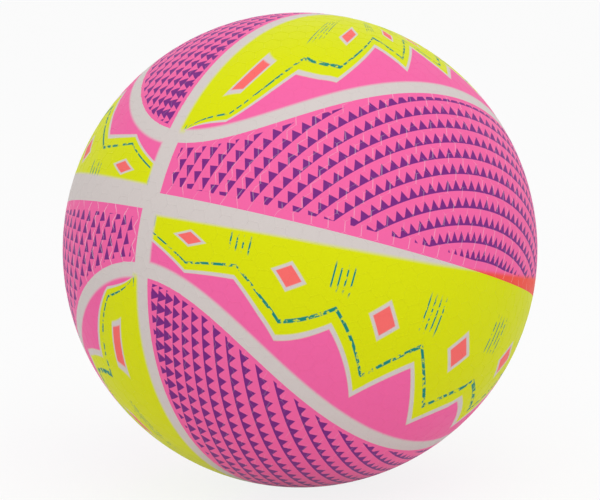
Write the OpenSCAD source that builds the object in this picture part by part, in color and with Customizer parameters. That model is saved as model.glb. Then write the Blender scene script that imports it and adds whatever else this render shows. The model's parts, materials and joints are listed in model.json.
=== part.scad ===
// Inflated rubber play ball: white moulded cover with eight printed panels, thread winding,
// bladder and a needle valve at the back. Sizes in mm, origin at the ball's centre, Z up.

/* [Ball] */
// Outside diameter of the pumped ball
ball_d = 220; // [180:1:260]
// Thickness of the moulded cover, printed skins included
cover_wall = 1.8; // [1.2:0.1:3]
// Thickness of a printed skin
skin_t = 0.3; // [0.2:0.05:0.5]
// Thickness of the thread winding
winding_wall = 0.5; // [0.3:0.1:1]
// Thickness of the bladder
bladder_wall = 0.8; // [0.5:0.1:1.5]
// Bond line between two layers
ply_gap = 0.1; // [0.08:0.01:0.2]
// Bond line under and around a printed skin
skin_gap = 0.05; // [0.03:0.01:0.1]
// Radius of the flat where the ball presses on the floor
rest_r = 6.7; // [5:0.1:9]

/* [Pattern] */
// Lean of the whole pattern, front crossing lifted
pattern_lean = 21; // [0:0.5:40]
// Width of the two bands that ring the ball
ring_band_w = 8; // [5:0.5:12]
// Width of the two closed bands above and below
loop_band_w = 6.2; // [4:0.2:10]
// Latitude of a closed band where it crosses the upright ring
loop_end_lat = 16.3; // [12:0.1:22]
// Latitude of the upper closed band at its sides
upper_loop_side_lat = 48.8; // [40:0.1:58]
// Latitude of the lower closed band at its sides
lower_loop_side_lat = 46.2; // [40:0.1:58]

/* [Valve] */
// Diameter of the flange bonded under the bladder
flange_d = 30; // [22:1:40]
// Thickness of the flange
flange_t = 1.2; // [0.8:0.1:2]
// Diameter of the neck that shows in the cover
neck_d = 10.5; // [10:0.5:16]
// Depth of the neck's top below the cover's face
neck_sink = 0.2; // [0.1:0.05:0.3]
// Length of the valve body along its axis
valve_len = 20; // [16:0.5:26]
// Thickness of the end wall under the core
end_wall = 2; // [1:0.5:3]
// Diameter of the core's head
core_head_d = 8; // [7:0.5:9]
// Thickness of the core's head
core_head_t = 2; // [1.5:0.5:3]
// Depth of the head's top below the cover's face
core_sink = 0.4; // [0.3:0.05:0.6]
// Diameter of the core's shank
core_d = 6; // [5:0.5:6.5]
// Running clearance around the core
core_clear = 0.05; // [0.03:0.01:0.1]
// Diameter of the needle channel
needle_d = 2; // [1.8:0.1:2.4]
// Diameter of the air hole in the end wall
air_hole_d = 3; // [2.5:0.1:4]

/* [Hidden] */
$fn = 96;
ball_r = ball_d / 2;
skin_in_r = ball_r - skin_t;
seat_cut_r = ball_r + skin_t;
cover_in_r = ball_r - cover_wall;
winding_r = cover_in_r - ply_gap;
winding_in_r = winding_r - winding_wall;
bladder_r = winding_in_r - ply_gap;
bladder_in_r = bladder_r - bladder_wall;
flange_r = bladder_in_r - ply_gap;
flange_in_r = flange_r - flange_t;
rest_z = -sqrt(ball_r * ball_r - rest_r * rest_r);
block = 2 * ball_d;
loop_half_deg = loop_band_w / 2 / ball_r * 180 / PI;
neck_hole_d = neck_d + 2 * ply_gap;
neck_top_r = ball_r - neck_sink;
core_top_z = ball_r - core_sink;
core_seat_z = core_top_z - core_head_t;
valve_end_z = ball_r - valve_len;
core_end_z = valve_end_z + end_wall;
white = [0.85, 0.84, 0.82];
pink = [1.0, 0.42, 0.65];
yellow = [0.86, 0.89, 0.10];
thread_grey = [0.78, 0.76, 0.70];
black = [0.07, 0.07, 0.08];

// Axis height and radius of the lying drum whose wall crosses the ball at the two given latitudes
function drum_z(end_lat, side_lat) =
    -ball_r * cos(side_lat) * cos(side_lat) / 2 / (sin(side_lat) - sin(end_lat));
function drum_r(end_lat, side_lat) =
    let (z = drum_z(end_lat, side_lat)) sqrt(z * z + ball_r * ball_r - 2 * z * ball_r * sin(end_lat));

// The pattern's own frame: front crossing at -Y, upright ring in the YZ plane
module in_pattern() {
    rotate([-pattern_lean, 0, 0]) children();
}

// The valve's own frame: Z runs out through the back crossing of the pattern
module in_valve() {
    in_pattern() rotate([-90, 0, 0]) children();
}

module shell(r_out, r_in) {
    difference() {
        sphere(r = r_out);
        sphere(r = r_in);
    }
}

module below_floor() {
    translate([0, 0, rest_z - block / 2]) cube(block, center = true);
}

module valve_hole() {
    in_valve() cylinder(d = neck_hole_d, h = block);
}

// Lying drum of a closed band; side is +1 for the upper band and -1 for the lower
module drum(side, shift_deg, grow) {
    side_lat = (side > 0 ? upper_loop_side_lat : lower_loop_side_lat) + shift_deg;
    end_lat = loop_end_lat + shift_deg;
    translate([0, 0, side * drum_z(end_lat, side_lat)])
        rotate([0, 90, 0])
            cylinder(r = drum_r(end_lat, side_lat) + grow, h = block, center = true);
}

// Field between a ring and a closed band; x and z say which quarter, grow widens it
module side_field(x, z, r_out, grow) {
    edge = ring_band_w / 2 - grow;
    in_pattern() intersection() {
        shell(r_out, skin_in_r - grow);
        translate([x * (edge + block / 2), 0, z * (edge + block / 2)]) cube(block, center = true);
        drum(z, -loop_half_deg, grow);
    }
}

// Field inside a closed band, on one side of the upright ring
module end_field(x, z, r_out, grow) {
    edge = ring_band_w / 2 - grow;
    in_pattern() difference() {
        intersection() {
            shell(r_out, skin_in_r - grow);
            translate([x * (edge + block / 2), 0, z * block / 2]) cube(block, center = true);
        }
        drum(z, loop_half_deg, -grow);
    }
}

module side_panel(x, z) {
    difference() {
        side_field(x, z, ball_r, 0);
        below_floor();
        valve_hole();
    }
}

module end_panel(x, z) {
    difference() {
        end_field(x, z, ball_r, 0);
        below_floor();
    }
}

// One closed moulded skin with a shallow seat for each printed panel
module cover() {
    color(white) difference() {
        shell(ball_r, cover_in_r);
        for (x = [-1, 1]) {
            for (z = [-1, 1]) {
                side_field(x, z, seat_cut_r, skin_gap);
                end_field(x, z, seat_cut_r, skin_gap);
            }
        }
        valve_hole();
        below_floor();
    }
}

module panel_upper_right() {
    color(pink) side_panel(1, 1);
}

module panel_upper_left() {
    color(yellow) side_panel(-1, 1);
}

module panel_lower_right() {
    color(yellow) side_panel(1, -1);
}

module panel_lower_left() {
    color(pink) side_panel(-1, -1);
}

module panel_top_right() {
    color(yellow) end_panel(1, 1);
}

module panel_top_left() {
    color(pink) end_panel(-1, 1);
}

module panel_bottom_right() {
    color(pink) end_panel(1, -1);
}

module panel_bottom_left() {
    color(yellow) end_panel(-1, -1);
}

// Layer of thread wound over the bladder, open only at the valve
module winding() {
    color(thread_grey) difference() {
        shell(winding_r, winding_in_r);
        valve_hole();
    }
}

// Airtight rubber balloon, open only at the valve
module bladder() {
    color(black) difference() {
        shell(bladder_r, bladder_in_r);
        valve_hole();
    }
}

// Rubber bush: flange under the bladder, neck through all layers, stem inside, bored for the core
module valve_body() {
    color(black) in_valve() difference() {
        union() {
            intersection() {
                shell(flange_r, flange_in_r);
                cylinder(d = flange_d, h = block);
            }
            intersection() {
                translate([0, 0, valve_end_z]) cylinder(d = neck_d, h = block);
                sphere(r = neck_top_r);
            }
        }
        translate([0, 0, core_seat_z]) cylinder(d = core_head_d + 2 * core_clear, h = block);
        translate([0, 0, core_end_z]) cylinder(d = core_d + 2 * core_clear, h = block);
        cylinder(d = air_hole_d, h = block);
    }
}

// Self-sealing plug with its head on the seat and the needle channel down its middle
module valve_core() {
    color(black) in_valve() difference() {
        union() {
            translate([0, 0, core_seat_z + core_clear])
                cylinder(d = core_head_d, h = core_head_t - core_clear);
            translate([0, 0, core_end_z + 2 * core_clear])
                cylinder(d = core_d, h = core_seat_z + core_head_t / 2 - core_end_z);
        }
        cylinder(d = needle_d, h = block);
    }
}

cover();
panel_upper_right();
panel_upper_left();
panel_lower_right();
panel_lower_left();
panel_top_right();
panel_top_left();
panel_bottom_right();
panel_bottom_left();
winding();
bladder();
valve_body();
valve_core();
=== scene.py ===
import itertools
import json

import bpy
import numpy as np
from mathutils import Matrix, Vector


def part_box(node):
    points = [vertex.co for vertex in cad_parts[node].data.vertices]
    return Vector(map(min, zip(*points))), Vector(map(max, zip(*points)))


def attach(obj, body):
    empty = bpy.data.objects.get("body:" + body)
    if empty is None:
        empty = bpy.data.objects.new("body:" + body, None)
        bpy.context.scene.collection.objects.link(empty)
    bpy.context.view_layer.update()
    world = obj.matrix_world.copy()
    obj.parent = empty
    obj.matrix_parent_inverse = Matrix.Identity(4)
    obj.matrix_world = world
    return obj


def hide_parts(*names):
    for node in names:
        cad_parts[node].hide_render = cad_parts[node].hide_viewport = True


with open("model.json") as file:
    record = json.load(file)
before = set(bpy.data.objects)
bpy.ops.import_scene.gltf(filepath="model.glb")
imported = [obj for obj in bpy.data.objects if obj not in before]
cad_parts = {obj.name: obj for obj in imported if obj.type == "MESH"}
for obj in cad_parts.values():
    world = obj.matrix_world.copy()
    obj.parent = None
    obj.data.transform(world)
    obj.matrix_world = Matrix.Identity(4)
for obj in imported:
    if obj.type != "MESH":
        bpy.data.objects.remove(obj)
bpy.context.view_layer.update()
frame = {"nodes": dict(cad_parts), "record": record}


# Bladder: a seamless balloon of black butyl rubber, dipped on a former and bonded round the valve.
# Chalk is dusted over it before the thread goes on, so that the two don't stick.
chalk_grain = 45
chalk_clouds = (0.5, 0.8)
chalk_share = 0.35
rubber_roughness = 0.5
chalk_roughness = 0.6


def paint(red, green, blue):
    """The linear colour of an sRGB colour that is given in steps of 0 to 255."""
    share = np.array((red, green, blue)) / 255
    linear = np.where(share <= 0.04045, share / 12.92, ((share + 0.055) / 1.055) ** 2.4)
    return (*linear.tolist(), 1.0)


class Value:
    """A number that varies over a piece. Arithmetic on it adds Math nodes to the piece's material."""

    def __init__(self, socket):
        self.socket = socket
        self.tree = socket.id_data

    def math(self, operation, *others):
        node = self.tree.nodes.new("ShaderNodeMath")
        node.operation = operation
        for place, item in zip(node.inputs, (self, *others)):
            if isinstance(item, Value):
                self.tree.links.new(item.socket, place)
            else:
                place.default_value = item
        return Value(node.outputs[0])

    def __add__(self, other):
        return self.math("ADD", other)

    def __sub__(self, other):
        return self.math("SUBTRACT", other)

    def __mul__(self, other):
        return self.math("MULTIPLY", other)

    def __truediv__(self, other):
        return self.math("DIVIDE", other)

    def __neg__(self):
        return self.math("MULTIPLY", -1)

    def __abs__(self):
        return self.math("ABSOLUTE")

    def least(self, other):
        return self.math("MINIMUM", other)

    def most(self, other):
        return self.math("MAXIMUM", other)

    def rise(self, start, end):
        """0 up to start and 1 from end on, with a smooth step between; start may be the larger one."""
        node = self.tree.nodes.new("ShaderNodeMapRange")
        node.interpolation_type = "SMOOTHSTEP"
        self.tree.links.new(self.socket, node.inputs["Value"])
        node.inputs["From Min"].default_value = start
        node.inputs["From Max"].default_value = end
        return Value(node.outputs["Result"])


def blend(share, under, over):
    """A colour that goes from under to over as the share goes from 0 to 1; each is a tuple or a socket."""
    node = share.tree.nodes.new("ShaderNodeMix")
    node.data_type = "RGBA"
    share.tree.links.new(share.socket, node.inputs["Factor"])
    for place, colour in ((node.inputs[6], under), (node.inputs[7], over)):
        if isinstance(colour, tuple):
            place.default_value = colour
        else:
            share.tree.links.new(colour, place)
    return node.outputs[2]


def new_material(name):
    """A material with its node tree and its one surface shader."""
    material = bpy.data.materials.new(name)
    material.use_nodes = True
    return material, material.node_tree, material.node_tree.nodes["Principled BSDF"]


def grain(tree, per_metre, detail=3.0):
    """Cloudy noise from 0 to 1 over the piece's own coordinates."""
    coordinates = tree.nodes.new("ShaderNodeTexCoord")
    noise = tree.nodes.new("ShaderNodeTexNoise")
    noise.inputs["Scale"].default_value = per_metre
    noise.inputs["Detail"].default_value = detail
    tree.links.new(coordinates.outputs["Object"], noise.inputs["Vector"])
    return Value(noise.outputs["Fac"])


def dressed(piece, material):
    """Gives a piece its one material."""
    piece.data.materials.clear()
    piece.data.materials.append(material)


def bladder_rubber():
    """Black rubber under thin clouds of chalk, which are duller than the rubber."""
    material, tree, shader = new_material("bladder_rubber")
    chalk = grain(tree, chalk_grain).rise(*chalk_clouds) * chalk_share
    tree.links.new(blend(chalk, paint(26, 26, 28), paint(150, 148, 144)), shader.inputs["Base Color"])
    tree.links.new((chalk * chalk_roughness + rubber_roughness).socket, shader.inputs["Roughness"])
    return material


dressed(frame["nodes"]["bladder"], bladder_rubber())


# Winding: polyester thread wound over the pumped bladder in great circles that cross at all angles,
# then set with latex. It keeps the ball round. Every turn passes clear of the valve.
valve_axis = np.array({m["name"]: m["axis"] for m in frame["record"]["mounts"]}["needle_channel"])
winding_radius = round(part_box("winding")[1][2], 6)
winding_wall = 0.0005
thread_radius = 0.00011
thread_inset = 0.00012
turn_count = 110
turn_sides = 4
turn_steps = 150
valve_clearance = 0.075
latex_grain = 700
latex_patches = (0.35, 0.7)
thread_roughness = 0.75
latex_gloss = 0.2


def unit(vectors):
    return vectors / np.linalg.norm(vectors, axis=-1, keepdims=True)


def across(axes):
    """Two unit vectors square to each axis and to each other."""
    helper = np.where(np.abs(axes[..., :1]) < 0.8, np.array((1.0, 0, 0)), np.array((0, 1.0, 0)))
    first = unit(np.cross(axes, helper))
    return first, np.cross(axes, first)


def new_piece(name, points, faces, normals=None):
    """A smooth-shaded mesh at the origin from arrays of points and of faces."""
    mesh = bpy.data.meshes.new(name)
    mesh.from_pydata(points.reshape(-1, 3), [], faces)
    mesh.shade_smooth()
    if normals is not None:
        mesh.normals_split_custom_set_from_vertices(normals)
    piece = bpy.data.objects.new(name, mesh)
    bpy.context.scene.collection.objects.link(piece)
    return piece


def grid_faces(rows, columns, wrap_rows, wrap_columns):
    """Four-cornered faces of a grid of points numbered row by row; a wrapped side closes on itself."""
    row = np.arange(rows if wrap_rows else rows - 1)[:, None]
    column = np.arange(columns if wrap_columns else columns - 1)[None, :]
    next_row, next_column = (row + 1) % rows, (column + 1) % columns
    corners = (row * columns + column, row * columns + next_column,
               next_row * columns + next_column, next_row * columns + column)
    return np.stack(np.broadcast_arrays(*corners), axis=-1).reshape(-1, 4)


def thread_turns():
    """Tubes round great circles whose axes follow a golden spiral over half the sphere.

    The turns climb from the inside of the layer to its outside, one after the other."""
    number = np.arange(turn_count)
    height = (number + 0.5) / turn_count
    spin = number * np.pi * (3 - 5 ** 0.5)
    ring = np.sqrt(1 - height ** 2)
    axes = np.stack((ring * np.cos(spin), ring * np.sin(spin), height), axis=1)
    axes = axes[np.abs(axes @ valve_axis) > valve_clearance]
    first, second = across(axes)
    round_ball = np.linspace(0, 2 * np.pi, turn_steps, endpoint=False)[None, :, None, None]
    round_thread = np.linspace(0, 2 * np.pi, turn_sides, endpoint=False)[None, None, :, None]
    inner, outer = winding_radius - winding_wall + thread_inset, winding_radius - thread_inset
    radius = np.linspace(inner, outer, len(axes))[:, None, None, None]
    out = first[:, None, None] * np.cos(round_ball) + second[:, None, None] * np.sin(round_ball)
    points = (out * (radius + thread_radius * np.cos(round_thread))
              + axes[:, None, None] * thread_radius * np.sin(round_thread))
    one_turn = grid_faces(turn_steps, turn_sides, True, True)[:, ::-1]
    faces = (np.arange(len(axes))[:, None, None] * turn_steps * turn_sides + one_turn).reshape(-1, 4)
    return points, faces


def winding_thread():
    """Undyed thread, darker and shinier where the latex has soaked in."""
    material, tree, shader = new_material("winding_thread")
    latex = grain(tree, latex_grain).rise(*latex_patches)
    tree.links.new(blend(latex, paint(214, 206, 186), paint(186, 176, 152)), shader.inputs["Base Color"])
    tree.links.new((latex * -latex_gloss + thread_roughness).socket, shader.inputs["Roughness"])
    return material


winding = new_piece("winding_turns", *thread_turns())
dressed(winding, winding_thread())
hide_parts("winding")
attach(winding, "ball")


# Valve: a moulded rubber bush, its flange bonded inside the bladder and its neck coming up through
# the cover, with a self-sealing plug pushed into it. The pump needle goes down the plug's channel.
ball_radius = round(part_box("cover")[1][2], 6)
neck_radius = 0.00525
neck_top = ball_radius - 0.0002
flange_radius = 0.015
flange_top = ball_radius - 0.0034
flange_under = flange_top - 0.0012
bush_end = ball_radius - 0.02
plug_room = bush_end + 0.002
air_hole_radius = 0.0015
plug_head_radius = 0.004
plug_head_top = ball_radius - 0.0004
plug_head_under = plug_head_top - 0.00195
plug_radius = 0.003
plug_end = plug_room + 0.0001
plug_clearance = 0.00005
needle_radius = 0.001
funnel_depth = 0.0009
edge_round = 0.0004
valve_sides = 72
bloom_grain = 350
bush_roughness = 0.45
bloom_roughness = 0.25


def arc(centre, radius, start, end, count=6):
    """Points (distance from the axis, height) of an arc; angles in degrees from the outward direction."""
    angle = np.radians(np.linspace(start, end, count))
    return np.stack((centre[0] + radius * np.cos(angle), centre[1] + radius * np.sin(angle)), axis=1)


def cap(radius, start, end, count=9):
    """Points of a sphere about the ball's centre, from one distance from the valve's axis to another."""
    distance = np.linspace(start, end, count)
    return np.stack((distance, np.sqrt(radius ** 2 - distance ** 2)), axis=1)


def turned(profile, sides):
    """A profile of (distance from the axis, height) points turned about the valve's axis.

    The points run clockwise round the section, seen with the axis on its left and the valve up."""
    first, second = across(valve_axis)
    turn = np.linspace(0, 2 * np.pi, sides, endpoint=False)[:, None]
    spoke = first * np.cos(turn) + second * np.sin(turn)
    points = profile[:, None, :1] * spoke[None] + profile[:, None, 1:] * valve_axis
    return points.reshape(-1, 3), grid_faces(len(profile), sides, True, True)[:, ::-1]


def crisp(piece, degrees=35):
    """Keeps the piece's sharp edges sharp while its round faces stay smooth."""
    piece.data.set_sharp_from_angle(angle=np.radians(degrees))
    return piece


def valve_rubber():
    """Black rubber with the grey bloom that such rubber gets in time."""
    material, tree, shader = new_material("valve_rubber")
    bloom = grain(tree, bloom_grain)
    tree.links.new(blend(bloom, paint(24, 24, 26), paint(52, 51, 52)), shader.inputs["Base Color"])
    tree.links.new((bloom * bloom_roughness + bush_roughness).socket, shader.inputs["Roughness"])
    return material


seat_bore = plug_head_radius + plug_clearance
seat_height = plug_head_under - plug_clearance
plug_bore = plug_radius + plug_clearance
lip_round = edge_round / 2
bush_profile = np.concatenate((
    [(air_hole_radius, bush_end)],
    arc((neck_radius - edge_round, bush_end + edge_round), edge_round, -90, 0),
    cap(flange_under, neck_radius, flange_radius),
    cap(flange_top, flange_radius, neck_radius),
    arc((neck_radius - edge_round, neck_top - edge_round), edge_round, 0, 90),
    arc((seat_bore + lip_round, neck_top - lip_round), lip_round, 90, 180),
    [(seat_bore, seat_height), (plug_bore, seat_height)],
    [(plug_bore, plug_room), (air_hole_radius, plug_room)],
))
plug_profile = np.concatenate((
    [(needle_radius, plug_end)],
    arc((plug_radius - edge_round, plug_end + edge_round), edge_round, -90, 0),
    [(plug_radius, plug_head_under), (plug_head_radius, plug_head_under)],
    arc((plug_head_radius - edge_round, plug_head_top - edge_round), edge_round, 0, 90),
    [(needle_radius + funnel_depth, plug_head_top), (needle_radius, plug_head_top - funnel_depth)],
))
rubber = valve_rubber()
for name, profile, node, body in (("valve_bush", bush_profile, "valve_body", "ball"),
                                  ("valve_plug", plug_profile, "valve_core", "core")):
    piece = crisp(new_piece(name, *turned(profile[::-1], valve_sides)))
    dressed(piece, rubber)
    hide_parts(node)
    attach(piece, body)


# Cover: white rubber moulded round the winding, with a shallow seat for each printed panel, so that
# bare bands stand between them. Raised hairlines of a honeycomb, cut into the mould, run over the
# whole ball, and a smooth round pad stiffens the cover at the valve.
rest_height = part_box("cover")[0][2]
side_axis = np.array((1.0, 0, 0))
up_axis = np.cross(side_axis, valve_axis)
pattern_axes = np.stack((side_axis, valve_axis, up_axis))
cover_wall = 0.0018
skin_wall = 0.0003
seat_depth = 0.00035
cells_per_edge = 16
line_half_width = 0.0003
line_height = 0.00012
face_radius = ball_radius - line_height
ring_half_width = 0.004
loop_half_width = 0.0031
ring_half_angle = float(np.degrees(np.arcsin(ring_half_width / ball_radius)))
loop_half_angle = float(np.degrees(loop_half_width / ball_radius))
loop_end_angle = 16.3
loop_side_angles = {1: 48.8, -1: 46.2}
hole_radius = neck_radius + 0.0001
pad_radius = 0.0092
pad_height = 0.0003
pad_lip_share = 0.7
pad_fall = 1.1
pad_seat_radius = 0.0078
land_radius = 0.0086
band_root = 0.0001
hidden_depth = 0.00025
weld_steps_per_metre = 1e7
shell_sides = 96
shell_rings = 60
map_margin = 0.05
hidden_share = 0.04


def honeycomb_cells():
    """Corners of the small triangles that join the middles of neighbouring honeycomb cells.

    Each face of an icosahedron is ruled into a lattice; the sine of each share evens out the cells.
    One face is centred on the pattern's front crossing with an edge running up."""
    golden = (1 + 5 ** 0.5) / 2
    just_over_edge = 2.1
    quarter = np.array([(0, a, b * golden) for a in (-1, 1) for b in (-1, 1)])
    tips = np.concatenate([np.roll(quarter, turn, axis=1) for turn in range(3)])
    triples = np.array(list(itertools.combinations(range(12), 3)))
    spans = np.linalg.norm(tips[triples] - tips[np.roll(triples, 1, axis=1)], axis=2)
    faces = tips[triples[(spans < just_over_edge).all(axis=1)]]
    inward = np.linalg.det(faces) < 0
    faces[inward] = faces[inward][:, ::-1]
    i, j = np.meshgrid(np.arange(cells_per_edge), np.arange(cells_per_edge), indexing="ij")
    upright = np.stack((i, j, i + 1, j, i, j + 1), axis=-1)[i + j < cells_per_edge]
    turned_over = np.stack((i + 1, j, i + 1, j + 1, i, j + 1), axis=-1)[i + j < cells_per_edge - 1]
    lattice = np.concatenate((upright, turned_over)).reshape(-1, 3, 2) / cells_per_edge
    shares = np.concatenate((1 - lattice.sum(axis=2, keepdims=True), lattice), axis=2)
    evened = np.sin(shares * np.arctan(2))
    corners = unit(np.einsum("tcs,fsx->ftcx", evened, faces)).reshape(-1, 3, 3)
    front = unit(np.array((golden, 0, 2 * golden + 1)))
    up = np.array((0, 1.0, 0))
    turn = np.stack((np.cross(up, front), -front, up))
    return corners @ turn.T @ pattern_axes


def from_valve(points):
    """Distance from the valve's axis, or a metre on the half of the ball away from the valve."""
    return np.where(points @ valve_axis > 0, np.linalg.norm(np.cross(points, valve_axis), axis=-1), 1.0)


def welded(points, faces):
    """Joins points that lie together and drops the triangles that this closes up."""
    steps = np.round(points * weld_steps_per_metre).astype(np.int64)
    _, first, same = np.unique(steps, axis=0, return_index=True, return_inverse=True)
    faces = same.reshape(-1)[faces]
    return first, faces[(faces != np.roll(faces, 1, axis=1)).all(axis=1)]


def honeycomb():
    """Points, normals and triangles of the ball's face with its raised lines.

    A small triangle has a Y of raised lines from its middle to the middles of its sides. From each
    corner, rows of points run to the line's foot, half way up its round side, and its crest. At the
    middle the way to a corner runs at 60 degrees to both lines, so a step counts for its sine. Inside
    the valve's pad the lines are left flat."""
    points_per_corner = 10
    corner = honeycomb_cells()
    middle = unit(corner.sum(axis=1))[:, None]
    beside = unit(corner + np.roll(corner, -1, axis=1))
    line = np.stack(np.broadcast_arrays(beside, middle, np.roll(beside, 1, axis=1)), axis=2)
    cell = corner[:, :, None]
    across_line = np.sin(np.radians((90, 60, 90)))[:, None]
    reach = np.linalg.norm(line - cell, axis=-1, keepdims=True) * across_line * ball_radius
    toward_cell = unit(cell - line)
    steepest = np.pi / 2 * line_height / line_half_width
    points, normals = [cell * face_radius], [cell]
    for back, up, slope in ((1, 0, 0), (0.5, 0.5, steepest), (0, 1, 0)):
        row = unit(cell + (line - cell) * (1 - back * line_half_width / reach))
        raised = (from_valve(row * ball_radius) > pad_radius)[..., None]
        points.append(row * (face_radius + raised * up * line_height))
        normals.append(unit(row + raised * slope * toward_cell))
    points = np.concatenate(points, axis=2).reshape(-1, 3)
    normals = np.concatenate(normals, axis=2).reshape(-1, 3)
    strips = [[(a, a + 3, a + 4), (a, a + 4, a + 1)] for a in (1, 2, 4, 5)]
    kite = np.array([(0, 1, 2), (0, 2, 3)] + sum(strips, []))
    start = np.arange(0, len(points), points_per_corner)
    faces = (start[:, None, None] + kite).reshape(-1, 3)
    first, faces = welded(points, faces)
    return points[first], normals[first], faces


def cut(points, normals, faces, sides, level):
    """Splits every triangle along the line where the level, one number a point, passes zero.

    Sides has a row a triangle and gains a column, which is true for what lies above zero."""
    high = level[faces] > 0
    count = high.sum(axis=1)
    whole = (count == 0) | (count == 3)
    lone_high = count[~whole] == 1
    alone = np.argmax(high[~whole] == lone_high[:, None], axis=1)
    a, b, c = np.take_along_axis(faces[~whole], (alone[:, None] + np.arange(3)) % 3, axis=1).T
    edges = np.sort(np.concatenate((np.stack((a, b), 1), np.stack((a, c), 1))), axis=1)
    ends, place = np.unique(edges, axis=0, return_inverse=True)
    p, q = ends.T
    ab, ac = (place + len(points)).reshape(2, -1)
    share = (level[p] / (level[p] - level[q]))[:, None]
    points = np.concatenate((points, points[p] + share * (points[q] - points[p])))
    normals = np.concatenate((normals, unit(normals[p] + share * (normals[q] - normals[p]))))
    parts = [np.stack(t, axis=1) for t in ((a, ab, ac), (ab, b, c), (ab, c, ac))]
    above = np.concatenate((high[whole, 0], lone_high, ~lone_high, ~lone_high))
    sides = np.column_stack((np.concatenate([sides[whole]] + [sides[~whole]] * 3), above))
    return points, normals, np.concatenate([faces[whole]] + parts), sides


def drum_level(x, y, z, side, shift):
    """How far a point lies outside the lying drum whose wall marks one edge of a closed band."""
    low = np.sin(np.radians(loop_end_angle + shift))
    high = np.radians(loop_side_angles[side] + shift)
    axis_height = -ball_radius * np.cos(high) ** 2 / 2 / (np.sin(high) - low)
    radius = np.sqrt(axis_height ** 2 + ball_radius ** 2 - 2 * axis_height * ball_radius * low)
    return np.hypot(y, z * side - axis_height) - radius


def edge_levels(points):
    """For each edge of the printed fields, a number a point that is zero on that edge."""
    x, y, z = (points @ pattern_axes.T).T
    rings = [axis + shift for axis in (x, z) for shift in (-ring_half_width, ring_half_width)]
    shifts = (-loop_half_angle, loop_half_angle)
    return rings + [drum_level(x, y, z, side, shift) for side in (1, -1) for shift in shifts]


def border(faces):
    """The edges that only one of these triangles has, in that triangle's direction."""
    edges = np.concatenate((faces[:, [0, 1]], faces[:, [1, 2]], faces[:, [2, 0]]))
    _, place, count = np.unique(np.sort(edges, axis=1), axis=0, return_inverse=True, return_counts=True)
    return edges[count[place.reshape(-1)] == 1]


def skin(own, depth):
    """Some of the ball's triangles as a closed skin: their face, an underside and a wall along each edge."""
    under = unit(points) * (ball_radius - depth)
    a, b = border(own).T
    c, d = a + len(points), b + len(points)
    corners, place = np.unique(np.concatenate((own, own[:, ::-1] + len(points), np.stack((b, a, c), axis=1),
                                               np.stack((b, c, d), axis=1))), return_inverse=True)
    both, shading = np.concatenate((points, under)), np.concatenate((normals, -unit(points)))
    return both[corners], place.reshape(-1, 3), shading[corners]


def cover_shell():
    """The wall under bands and panels: two arcs about the ball's middle, turned, with the valve's hole."""
    angle = np.linspace(pad_seat_radius / ball_radius, np.pi, shell_rings)
    arcs = np.stack((np.sin(angle), np.cos(angle)), axis=1)
    outside, inside = ball_radius - seat_depth, ball_radius - cover_wall
    places, quads = turned(np.concatenate((arcs * outside, arcs[::-1] * inside)), shell_sides)
    first, triangles = welded(places, np.concatenate((quads[:, [0, 1, 2]], quads[:, [0, 2, 3]])))
    return places[first], triangles


def pad_ring():
    """The smooth pad, closed in section: through the wall at the valve, round over the top, thin outside."""
    lip = pad_height * pad_lip_share
    top = np.sqrt(face_radius ** 2 - hole_radius ** 2) + pad_height
    crown = cap(face_radius, hole_radius + lip, pad_radius)
    outward = (crown[:, 0] - crown[0, 0]) / (pad_radius - crown[0, 0])
    crown[:, 1] += pad_height * (1 - pad_fall * outward ** 3)
    wall_foot = ball_radius - cover_wall
    return turned(np.concatenate((
        [(hole_radius, wall_foot)],
        arc((hole_radius + lip, top - lip), lip, 180, 90),
        crown[1:],
        [(land_radius, face_radius - 2 * seat_depth), (pad_seat_radius, wall_foot)],
    )), valve_sides)


def points_of(piece):
    places = np.empty(len(piece.data.vertices) * 3, np.float32)
    piece.data.vertices.foreach_get("co", places)
    return places.reshape(-1, 3)


def lay_flat(piece, *middles):
    """Gives a skin its flat map: views of its face from the far side of the ball, one beside the other.

    Each triangle goes to the view with the nearest middle. Walls and undersides share a small corner."""
    corners = np.empty(len(piece.data.loops), np.int32)
    piece.data.loops.foreach_get("vertex_index", corners)
    corners = corners.reshape(-1, 3)
    places = points_of(piece)
    direction = unit(places)[corners]
    hidden = (np.linalg.norm(places, axis=1) < ball_radius - hidden_depth)[corners].any(axis=1)
    nearest = (direction.sum(axis=1) @ np.stack(middles, axis=1)).argmax(axis=1)
    flat = np.empty((len(corners), 3, 2))
    for number, middle in enumerate(middles):
        own = direction[nearest == number]
        view = np.stack([own @ axis for axis in across(middle)], axis=2) / (1 + own @ middle)[..., None]
        view = (view - view.min(axis=(0, 1))) / np.ptp(view, axis=(0, 1)).max()
        flat[nearest == number] = (view + (number, 0)) / len(middles)
    flat = np.where(hidden[:, None, None], flat * hidden_share, flat * (1 - map_margin) + map_margin)
    piece.data.uv_layers.new(name="OFBake").uv.foreach_set("vector", flat.astype(np.float32).ravel())


points, normals, faces = honeycomb()
sides = np.empty((len(faces), 0), bool)
for number in range(len(edge_levels(points))):
    points, normals, faces, sides = cut(points, normals, faces, sides, edge_levels(points)[number])
for radius in (pad_seat_radius, land_radius):
    points, normals, faces, sides = cut(points, normals, faces, sides, from_valve(points) - radius)
off_seat = sides[:, -2]
faces, sides = faces[off_seat], sides[off_seat]
pressed = points[:, 2] < rest_height
points[pressed, 2] = rest_height
normals[pressed] = (0, 0, -1)

# The columns of sides stand in the order of the cuts: edges of the rings, the closed bands, the pad.
right, not_left, above, not_below, past_upper, in_upper, past_lower, in_lower, _, off_land = sides.T
off_ring = (right | ~not_left) & off_land
in_side = off_ring & (above | ~not_below) & ~past_upper & ~past_lower
in_end = off_ring & (in_upper | in_lower)
in_band = ~in_side & ~in_end
field_x, _, field_z = (points[faces].mean(axis=1) @ pattern_axes.T).T


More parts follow.
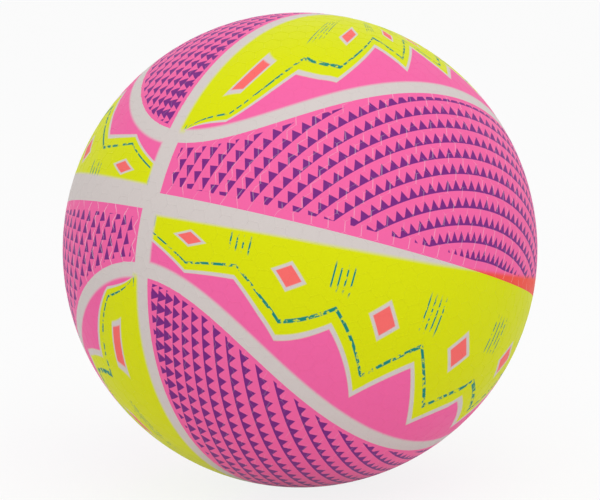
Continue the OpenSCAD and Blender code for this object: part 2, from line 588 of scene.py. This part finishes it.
def vector_math(tree, operation, first, second=None):
    """A Vector Math node's outputs; each input is a socket or a fixed vector."""
    node = tree.nodes.new("ShaderNodeVectorMath")
    node.operation = operation
    for place, item in zip(node.inputs, (first, second)):
        if isinstance(item, bpy.types.NodeSocket):
            tree.links.new(item, place)
        elif item is not None:
            place.default_value = item
    return node.outputs


def pattern_reader(tree, flip_x=1, flip_z=1):
    """A function for how far a point's direction from the ball's middle runs along a pattern direction.

    The pattern's x runs right, y to the back crossing and z up; a flip of -1 turns that side round."""
    place = tree.nodes.new("ShaderNodeTexCoord").outputs["Object"]
    direction = vector_math(tree, "NORMALIZE", place)["Vector"]

    def along(x, y, z):
        axis = np.array((x * flip_x, y, z * flip_z)) @ pattern_axes
        return Value(vector_math(tree, "DOT_PRODUCT", direction, axis)["Value"])

    return along


edge_height = 0.031
edge_tilt = 0.009
edge_climb = 0.087
edge_bend = 0.3
edge_steepening = 0.03
edge_fall_start = 0.555
edge_fall = 0.64
edge_blur = 0.012
level_spill_start = (0.03, 0.045)
level_spill_floor = (-0.1, -0.06)
upright_spill_start = (0.01, 0.03)
upright_spill_height = (0.29, 0.33)
upright_spill_end = (0.05, 0.045)
# Painted highlight on the raised lines: a pale colour on their sideways-facing flanks, in patches, standing
# in for light glinting off them.
highlight_flank_lean = (0.2, 0.42)
highlight_grain = 60
highlight_patch_onset = (0.3, 0.55)
mottle_grain = 900
mottle_share = 0.06
satin_grain = 120
satin_roughness = 0.4
satin_swing = 0.12
sheen = 0.08
white = paint(217, 208, 205)
yellow = paint(223, 230, 4)
# The colour of the painted highlight on the raised lines.
painted_highlight = paint(250, 242, 246)
black = paint(0, 0, 0)


def level_edge(x, y):
    """Height of the lower right yellow print's slanting upper edge; it climbs to the right, then falls."""
    climb = x * edge_tilt + y * edge_climb + (y + edge_bend).most(0) * edge_steepening + edge_height
    return climb.least(y * -edge_fall + edge_fall_start)


def level_spill(along):
    """Share of yellow ink where the lower right field's print ran over the level band."""
    x, y, z = along(1, 0, 0), along(0, 1, 0), along(0, 0, 1)
    ink = (level_edge(x, y) - z).rise(-edge_blur, edge_blur)
    return ink * x.rise(*level_spill_start) * z.rise(*level_spill_floor)


def upright_spill(along):
    """Share of yellow ink where the yellow end fields' print ran over the edge of the upright band."""
    x, z = along(1, 0, 0), along(0, 0, 1)
    ink = (x * z.math("SIGN")).rise(*upright_spill_start)
    return ink * abs(z).rise(*upright_spill_height) * abs(x).rise(*upright_spill_end)


def sideways_flank(tree):
    """How far the face leans to one side along the pattern's level, which only the lines' flanks do."""
    place = tree.nodes.new("ShaderNodeTexCoord").outputs["Object"]
    normal = tree.nodes.new("ShaderNodeNewGeometry").outputs["Normal"]
    level = vector_math(tree, "NORMALIZE", vector_math(tree, "CROSS_PRODUCT", up_axis, place)["Vector"])
    return abs(Value(vector_math(tree, "DOT_PRODUCT", normal, level["Vector"])["Value"]))


def moulded_rubber(tree, shader, colour, highlight_share=0.0):
    """Satin rubber with a fine mottle; the sideways flanks of the raised lines get a painted highlight, in
    patches, as far as the highlight share says.
    """
    highlight_patches = grain(tree, highlight_grain, detail=2).rise(*highlight_patch_onset)
    # Painted highlight: the pale colour goes where a flank faces sideways, so it follows how the lines face
    # the light.
    colour = blend(sideways_flank(tree).rise(*highlight_flank_lean) * highlight_patches * highlight_share, colour, painted_highlight)
    colour = blend(grain(tree, mottle_grain) * mottle_share, colour, black)
    tree.links.new(colour, shader.inputs["Base Color"])
    roughness = grain(tree, satin_grain) * satin_swing + satin_roughness
    tree.links.new(roughness.socket, shader.inputs["Roughness"])
    shader.inputs["Specular IOR Level"].default_value = sheen


def white_rubber():
    """The cover's bare rubber, with the yellow ink that ran over the edges of its bands."""
    material, tree, shader = new_material("white_rubber")
    along = pattern_reader(tree)
    ink = level_spill(along).most(upright_spill(along))
    moulded_rubber(tree, shader, blend(ink, white, yellow))
    return material


bands = new_piece("cover_bands", *skin(faces[in_band], seat_depth + band_root))
lay_flat(bands, -valve_axis, valve_axis)
shell = crisp(new_piece("cover_shell", *cover_shell()))
pad = crisp(new_piece("cover_valve_pad", *pad_ring()))
cover_rubber = white_rubber()
for piece in (shell, bands, pad):
    dressed(piece, cover_rubber)
    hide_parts("cover")
    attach(piece, "ball")


# Pink panels: four thin rubber skins, printed with rows of purple teeth that follow arcs, and cured
# into the cover's seats in the mould. Painted highlights lie on the sideways flanks of some raised lines.
side_map = (90, 24)
side_arc_centre = (0.93, -77.0)
side_arc_pitch = 4.168
side_arc_start = 0.18
side_draw_turn = -30
side_draw_radius = 80
side_draw = 0.0015
side_outer_radius = 97
side_outer_draw = 0.075
side_tooth_hub = (88.55, -22.36)
side_tooth_spacing = 2.99
side_even_radius = 103
side_spacing_growth = 0.0207
side_tooth_closing = 0.0008
side_tooth_height = 0.66
side_tooth_lean = 0.25
side_base_onset = (0.3, 0.65)
side_base_thins = (72, 84)
side_base = 0.16
side_base_loss = 0.07
side_no_base = 0.04
side_margins = {"ring": 3.7, "level": 4.4, "loop": 2.7}
end_map = (60, -60)
end_arc_centre = (190.8, 180.7)
end_arc_pitch = 3.58
even_radius = 258
vanishing_radius = 365
narrowing = 0.0368
end_arc_start = -0.29
end_tooth_spacing = 0.74
end_tooth_height = 63
end_tooth_growth = 0.45
end_growth_onset = (285, 292)
end_base_onset = (289, 276)
end_base = 0.2
end_no_base = 0.05
end_margins = {"ring": 3.2, "loop": 2.7}
tooth_blur = 0.012
base_blur = 0.015
margin_blur = 0.1
# How much painted highlight each pink panel's raised lines carry; the lower left one has the most.
faint_highlights = 0.2
some_highlights = 0.5
strong_highlights = 0.85
pink = paint(250, 105, 170)
purple = paint(126, 44, 134)
orange = paint(250, 85, 70)


def degrees(sine):
    return sine.math("ARCSINE").math("DEGREES")


def loop_distance(x, z, side):
    """Degrees from the middle of a closed band, positive inside it; z counts away from the level ring.

    On the ball the drum's wall is z = low + bend x^2; the gap in z over its gradient is the distance."""
    low, high = np.sin(np.radians(loop_end_angle)), np.radians(loop_side_angles[side])
    bend = float((np.sin(high) - low) / np.cos(high) ** 2)
    climb = x * x * bend
    slope = z - climb * 2
    gradient = (climb * (4 * bend) + 1 - slope * slope).math("SQRT")
    return ((z - climb - float(low)) / gradient).math("DEGREES")


def map_axes(longitude, latitude):
    """The pattern's directions out of the ball, to the right and up at a place on it."""
    turn, lift = np.radians((longitude, latitude))
    out = np.array((np.cos(lift) * np.sin(turn), -np.cos(lift) * np.cos(turn), np.sin(lift)))
    up = unit(np.array((0, 0, 1)) - out * out[2])
    return out, np.cross(up, out), up


def map_polar(along, place, centre):
    """Distance and turn, in degrees, about a point of the flat map drawn round a place on the ball.

    The map is projected from the far side of the ball, so that circles stay circles."""
    out, right, up = (along(*axis) for axis in map_axes(*place))
    spread = (out + 1).math("POWER", -1) * 2
    u = (right * spread).math("DEGREES") - centre[0]
    v = (up * spread).math("DEGREES") - centre[1]
    return (u * u + v * v).math("SQRT"), u.math("ARCTAN2", v).math("DEGREES")


def teeth(row, turn, spacing, height, base, lean=0.0):
    """Ink of rows of triangles on thin base lines; row counts up from one base to the next."""
    up = row.math("FRACT")
    aside = abs((turn / spacing - up * lean).math("FRACT") - 0.5)
    tooth = (up / height * -0.5 + 0.5 - aside).rise(-tooth_blur, tooth_blur)
    return tooth.most((base - up).rise(-base_blur, base_blur))


def side_rows(along):
    """Rows on circles about one point, drawn in a little at the top; teeth point away from a hub.

    The spacing grows towards the inner rows, and a row's teeth close up to the right."""
    radius, turn = map_polar(along, side_map, side_arc_centre)
    drawn_in = (turn - side_draw_turn).most(0) * (radius - side_draw_radius).most(0) * side_draw
    radius = radius + drawn_in - (radius - side_outer_radius).most(0) * side_outer_draw
    row = radius / side_arc_pitch + side_arc_start
    row_radius = (row.math("FLOOR") - side_arc_start) * side_arc_pitch
    spacing = (-row_radius + side_even_radius).most(0) * side_spacing_growth + side_tooth_spacing
    _, right, up = map_axes(*side_tooth_hub)
    aim = along(*right).math("ARCTAN2", along(*up)).math("DEGREES")
    aim = aim * (aim * side_tooth_closing + 1)
    base = radius.rise(*side_base_thins) * -side_base_loss + side_base
    base = along(1, 0, 0).rise(*side_base_onset) * base - side_no_base
    return teeth(row, aim, spacing, side_tooth_height, base, side_tooth_lean)


def end_rows(along):
    """Rows on circles about one point, evenly spaced up to a radius and then ever closer together.

    In the outermost rows the teeth run into one another."""
    radius, turn = map_polar(along, end_map, end_arc_centre)
    room = -radius.most(even_radius) + vanishing_radius
    closing = (room / (vanishing_radius - even_radius)).math("LOGARITHM", np.e) / narrowing
    row = closing - (radius.least(even_radius) - even_radius) / end_arc_pitch + end_arc_start
    height = room.math("POWER", -1) * end_tooth_height + radius.rise(*end_growth_onset) * end_tooth_growth
    base = radius.rise(*end_base_onset) * end_base - end_no_base
    return teeth(row, turn, end_tooth_spacing, height, base)


def pink_side_print(name, half, highlight_share):
    """The upper right panel's print, or for a half of -1 the same turned round for the lower left one."""
    material, tree, shader = new_material(name)
    along = pattern_reader(tree, half, half)
    x, z = along(1, 0, 0), along(0, 0, 1)
    room = (degrees(x) - side_margins["ring"]).least(degrees(z) - side_margins["level"])
    room = room.least(-loop_distance(x, z, half) - side_margins["loop"])
    colour = blend(side_rows(along) * room.rise(-margin_blur, margin_blur), pink, purple)
    if half > 0:
        colour = blend(level_spill(along), colour, orange)
    moulded_rubber(tree, shader, colour, highlight_share)
    return material


def pink_end_print(name, half):
    """The bottom right panel's print, or for a half of -1 the same turned round for the top left one."""
    material, tree, shader = new_material(name)
    along = pattern_reader(tree, half, half)
    x, z = along(1, 0, 0), along(0, 0, 1)
    room = (degrees(x) - end_margins["ring"]).least(loop_distance(x, -z, -half) - end_margins["loop"])
    colour = blend(end_rows(along) * room.rise(-margin_blur, margin_blur), pink, purple)
    moulded_rubber(tree, shader, colour, faint_highlights)
    return material


def panel(name, field, side_x, side_z, material):
    """One printed skin, in the quarter of its field that lies on these sides of the two rings."""
    own = faces[field & (field_x * side_x > 0) & (field_z * side_z > 0)]
    piece = new_piece("print_" + name, *skin(own, skin_wall))
    lay_flat(piece, unit(points_of(piece).mean(axis=0)))
    dressed(piece, material)
    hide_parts("panel_" + name)
    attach(piece, "ball")


panel("upper_right", in_side, 1, 1, pink_side_print("pink_upper_right", 1, some_highlights))
panel("lower_left", in_side, -1, -1, pink_side_print("pink_lower_left", -1, strong_highlights))
panel("bottom_right", in_end, 1, -1, pink_end_print("pink_bottom_right", 1))
panel("top_left", in_end, -1, 1, pink_end_print("pink_top_left", -1))


# Yellow panels: the other four skins, printed with a pink zigzag along the closed band, diamonds and
# short hatching, and fixed as the pink ones are. At some edges the print stops short or runs over.
zigzags_per_degree = 7 / 180
corner_height = 0.12
reach_least = 0.22
reach_swell = 0.36
swell_degrees = 67
zigzag_blur = 0.01
outline_height = 0.02
outline_half = (0.03, 0.015)
dash_height = 0.15
dash_half = (0.022, 0.012)
diamond_height = 0.66
diamond_slopes = (4, 10)
diamond_rim = (1.5, 1.3)
diamond_core = (1.1, 0.95)
hatch_degrees = 1.6
hatch_stroke = (0.16, 0.1)
hatch_side = (0.72, 0.76)
hatch_start = (0.68, 0.74)
hatch_end = (0.94, 0.88)
dry_grain = 420
dry_ink = (0.4, 0.5)
edge_fade = (0.0, 1.0)
level_fade_start = 0.5
left_gap = 1.5
left_gap_growth = 1.9
teal = paint(20, 140, 125)
salmon = paint(255, 112, 110)


def zigzag_print(tree, share, longitude):
    """The print's colours; share counts across the field from its closed band, 0, to its ring, 1.

    Beside counts from the zigzag's inner corners, 0, to its outer ones, 1, whose reach swells and falls."""
    dry = grain(tree, dry_grain).rise(*dry_ink)
    beside = abs((longitude * zigzags_per_degree).math("FRACT") - 0.5) * 2
    reach = abs((longitude / swell_degrees).math("FRACT") - 0.5) * reach_swell + reach_least
    above = share - (beside * reach + corner_height)
    colour = blend(above.rise(-zigzag_blur, zigzag_blur), pink, yellow)
    colour = blend(abs(above - outline_height).rise(*outline_half), colour, white)
    colour = blend(abs(above - dash_height).rise(*dash_half) * dry, colour, teal)
    diamond = beside * diamond_slopes[0] + abs(share - diamond_height) * diamond_slopes[1]
    colour = blend(diamond.rise(*diamond_rim), colour, white)
    colour = blend(diamond.rise(*diamond_core), colour, salmon)
    stroke = abs((longitude / hatch_degrees).math("FRACT") - 0.5).rise(*hatch_stroke)
    patch = beside.rise(*hatch_side) * share.rise(*hatch_start) * share.rise(*hatch_end)
    return blend(stroke * patch * dry, colour, teal)


def yellow_print(name, is_side, side_x, side_z):
    """A yellow panel's print with a soft white edge; end panels have none along the upright ring."""
    material, tree, shader = new_material(name)
    along = pattern_reader(tree, side_x, side_z)
    x, y, z = along(1, 0, 0), along(0, 1, 0), along(0, 0, 1)
    inward = -1 if is_side else 1
    to_loop = loop_distance(x, z, side_z) * inward - loop_half_angle
    to_ring = degrees(z if is_side else x) - ring_half_angle
    longitude = x.math("ARCTAN2", -y).math("DEGREES")
    colour = zigzag_print(tree, to_loop / (to_loop + to_ring), longitude)
    edge = to_loop
    if is_side:
        if side_x > 0:
            level = degrees(level_edge(x, y) + z)
        else:
            level = to_ring - x * left_gap_growth - left_gap
        edge = edge.least(degrees(x) - ring_half_angle).least(level + level_fade_start)
    moulded_rubber(tree, shader, blend(edge.rise(*edge_fade), white, colour))
    return material


panel("lower_right", in_side, 1, -1, yellow_print("yellow_lower_right", True, 1, -1))
panel("upper_left", in_side, -1, 1, yellow_print("yellow_upper_left", True, -1, 1))
panel("top_right", in_end, 1, 1, yellow_print("yellow_top_right", False, 1, 1))
panel("bottom_left", in_end, -1, -1, yellow_print("yellow_bottom_left", False, -1, -1))


# Studio: a pale matt floor that the ball stands on, white light from all round and one large soft
# lamp above the front. The floor and the surroundings look white to the camera.
floor_half = 3.0
floor_drop = 0.00001
camera_azimuth, camera_elevation = np.radians((40.7, 12.1))
camera_distance = 24.7 * ball_radius
ball_pixels = 237.5
picture_pixels = 600
sensor_width = 36.0
farthest_seen = 100
lamp_azimuth, lamp_elevation = camera_azimuth + 0.2, np.radians(60)
lamp_distance = 1.8
lamp_size = 1.6
lamp_power = 10
floor_grey = 0.9
floor_roughness = 0.9
floor_glow = 0.85
surround_strength = 0.74


def toward(azimuth, elevation):
    """The direction at an azimuth, counted from the front to the right, and an elevation."""
    level = np.cos(elevation)
    return np.array((level * np.sin(azimuth), -level * np.cos(azimuth), np.sin(elevation)))


def aimed(name, data, place):
    """A lamp or a camera at a place, turned to the ball's middle."""
    thing = bpy.data.objects.new(name, data)
    thing.location = place
    thing.rotation_euler = Vector(place).to_track_quat("Z", "Y").to_euler()
    bpy.context.scene.collection.objects.link(thing)
    return thing


def mixed(tree, share, first, second):
    node = tree.nodes.new("ShaderNodeMixShader")
    tree.links.new(share, node.inputs["Fac"])
    tree.links.new(first, node.inputs[1])
    tree.links.new(second, node.inputs[2])
    return node.outputs["Shader"]


def seen_directly(tree):
    """1 for what the camera sees itself, in a mirror or through glass."""
    path = tree.nodes.new("ShaderNodeLightPath")
    camera_ray, glossy, through = (
        Value(path.outputs[kind]) for kind in ("Is Camera Ray", "Is Glossy Ray", "Is Transmission Ray"))
    return camera_ray.most(glossy).most(through)


def floor_paint():
    """Pale matt paint that shines white for the camera but keeps a soft shadow; clear from below."""
    material, tree, shader = new_material("floor_paint")
    shader.inputs["Base Color"].default_value = (floor_grey, floor_grey, floor_grey, 1)
    shader.inputs["Roughness"].default_value = floor_roughness
    glow = tree.nodes.new("ShaderNodeEmission")
    clear = tree.nodes.new("ShaderNodeBsdfTransparent")
    facing = tree.nodes.new("ShaderNodeNewGeometry")
    share = seen_directly(tree) * floor_glow
    surface = mixed(tree, share.socket, shader.outputs["BSDF"], glow.outputs["Emission"])
    surface = mixed(tree, facing.outputs["Backfacing"], surface, clear.outputs["BSDF"])
    tree.links.new(surface, tree.nodes["Material Output"].inputs["Surface"])
    return material


corners = np.array([(x, y, 0) for x, y in ((-1, -1), (1, -1), (1, 1), (-1, 1))]) * floor_half
floor = new_piece("floor", corners + (0, 0, rest_height - floor_drop), np.array([(0, 1, 2, 3)]))
floor.data.materials.append(floor_paint())

world = bpy.data.worlds.new("studio")
bpy.context.scene.world = world
world.use_nodes = True
background = world.node_tree.nodes["Background"]
background.inputs["Color"].default_value = (1, 1, 1, 1)
strength = seen_directly(world.node_tree) * (1 - surround_strength) + surround_strength
world.node_tree.links.new(strength.socket, background.inputs["Strength"])

lamp = bpy.data.lights.new("softbox", "AREA")
lamp.shape = "DISK"
lamp.size = lamp_size
lamp.energy = lamp_power
aimed("softbox", lamp, toward(lamp_azimuth, lamp_elevation) * lamp_distance)

lens = bpy.data.cameras.new("camera")
focal_pixels = ball_pixels * np.sqrt((camera_distance / ball_radius) ** 2 - 1)
lens.sensor_width = sensor_width
lens.lens = sensor_width * focal_pixels / picture_pixels
lens.clip_end = farthest_seen
bpy.context.scene.camera = aimed("camera", lens, toward(camera_azimuth, camera_elevation) * camera_distance)
bpy.context.scene.view_settings.view_transform = "Standard"
